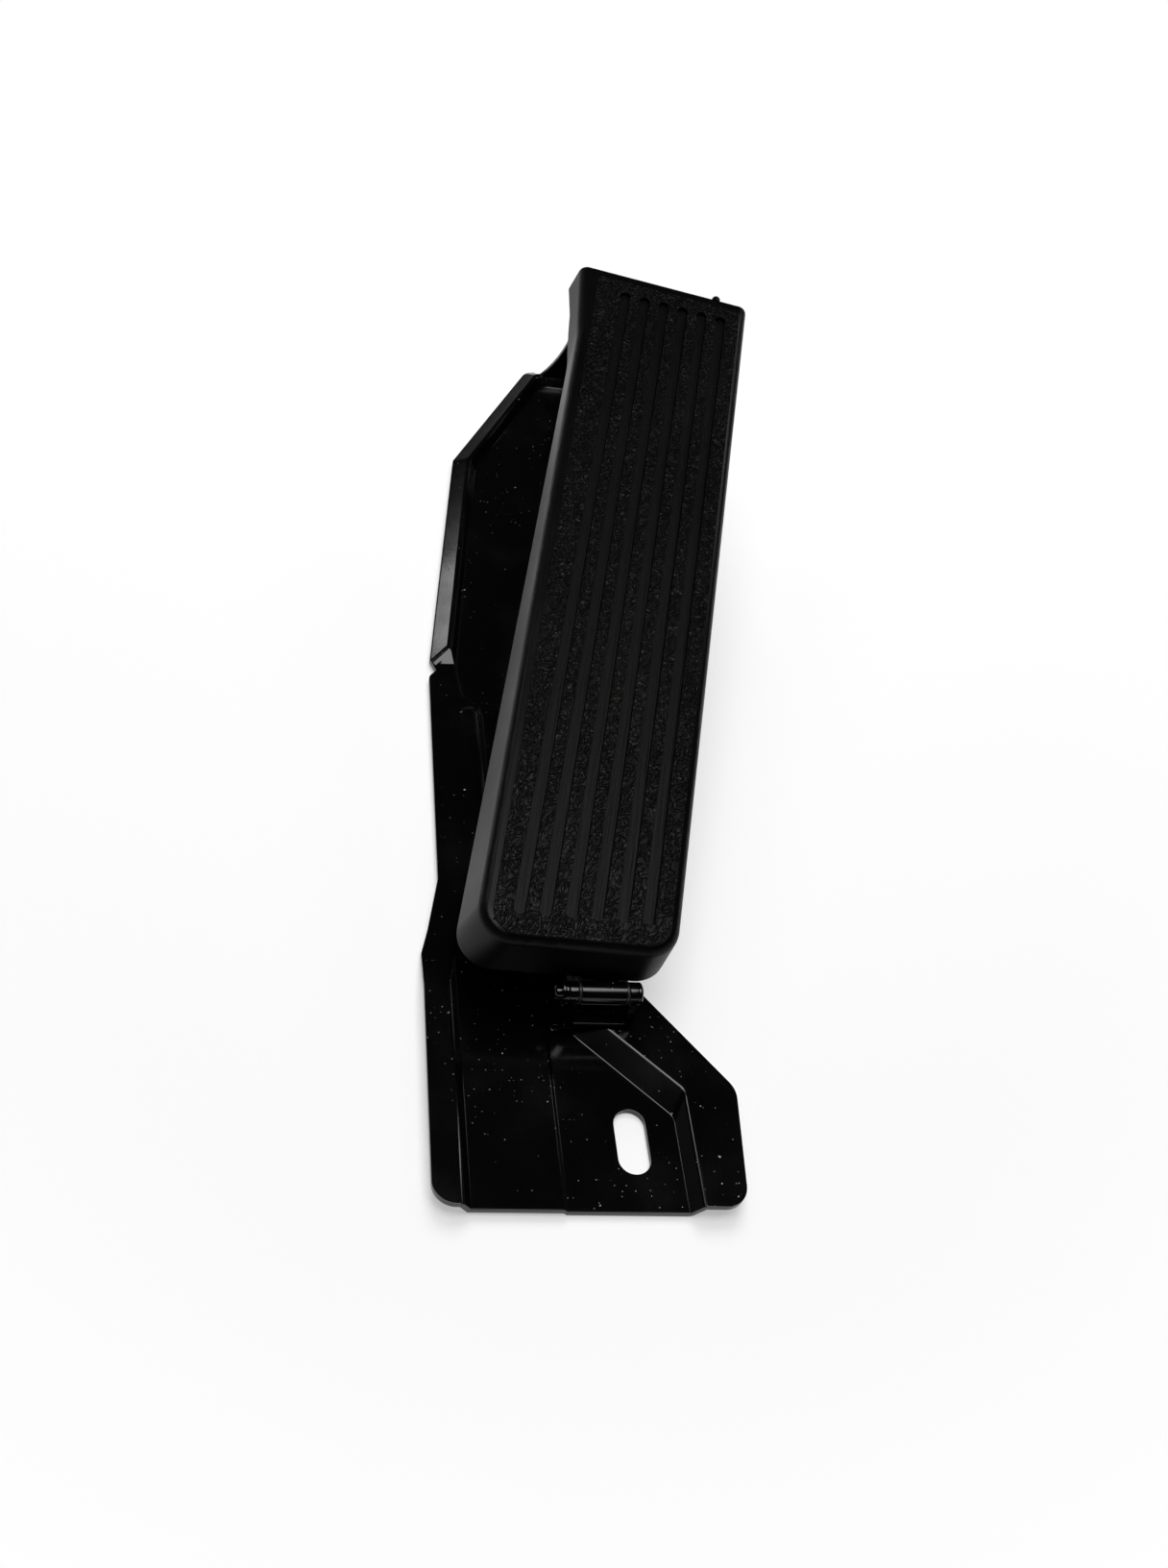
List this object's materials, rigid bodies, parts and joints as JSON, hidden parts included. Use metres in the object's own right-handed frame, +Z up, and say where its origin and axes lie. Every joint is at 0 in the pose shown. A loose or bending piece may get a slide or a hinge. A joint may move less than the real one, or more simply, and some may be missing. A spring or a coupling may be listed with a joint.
{
  "type": "accelerator pedal",
  "caption": "Floor-hinged accelerator pedal: grooved rubber treadle on a stamped black sheet base with slotted foot, roller lever and return spring under the pad.",
  "frame": {"origin": "centre of the slot in the foot of the base, on the underside that lies on the vehicle floor", "axes": "+X to the driver's right, +Y up the pedal towards the toe end, +Z up out of the floor"},
  "size_m": [0.1203, 0.3964, 0.0918],
  "materials": {
    "black_paint": "gloss black paint with dust specks",
    "zinc_steel": "dull zinc plate",
    "spring_steel": "dark oiled spring steel",
    "nylon": "black nylon",
    "rubber": "satin moulded rubber with leather grain"
  },
  "bodies": {
    "base": {"base_bracket": "black_paint", "hinge_bracket": "black_paint", "hinge_pin": "black_paint", "hinge_washer": "black_paint", "hinge_clip": "black_paint", "lever_bracket": "black_paint", "lever_pin": "zinc_steel", "lever_washer": "zinc_steel", "lever_clip": "zinc_steel", "stop_weld_nut": "black_paint", "stop_bolt": "zinc_steel", "stop_lock_nut": "zinc_steel", "idle_screw": "zinc_steel", "idle_lock_nut": "zinc_steel", "return_spring": "spring_steel"},
    "pedal": {"pedal_plate": "black_paint", "hinge_tube": "black_paint", "hinge_bushes": "nylon", "rubber_pad": "rubber", "roller_track": "zinc_steel"},
    "lever": {"throttle_lever": "black_paint", "lever_boss": "black_paint", "lever_bushes": "nylon", "roller_pin": "zinc_steel", "roller_washer": "zinc_steel"},
    "roller": {"roller": "nylon"}
  },
  "joints": [
    {"name": "pedal_hinge", "type": "hinge", "parent": "base", "child": "pedal", "pos_m": [0, 0.0383, 0.016], "axis": [-1, 0, 0], "range_deg": [0, 10.5], "stiffness_Nm_per_rad": 16, "springref_deg": -17.76},
    {"name": "lever_pivot", "type": "hinge", "parent": "base", "child": "lever", "pos_m": [0.03, 0.342, 0.015], "axis": [1, 0, 0], "range_deg": [0, 15.2], "deforming": ["return_spring"]},
    {"name": "roller_spin", "type": "hinge", "parent": "lever", "child": "roller", "pos_m": [0.02225, 0.21754, 0.05256], "axis": [1, 0, 0], "continuous": true}
  ],
  "couplings": [
    {"joint": "lever_pivot", "follows": "pedal_hinge", "ratio": 1.435}
  ]
}
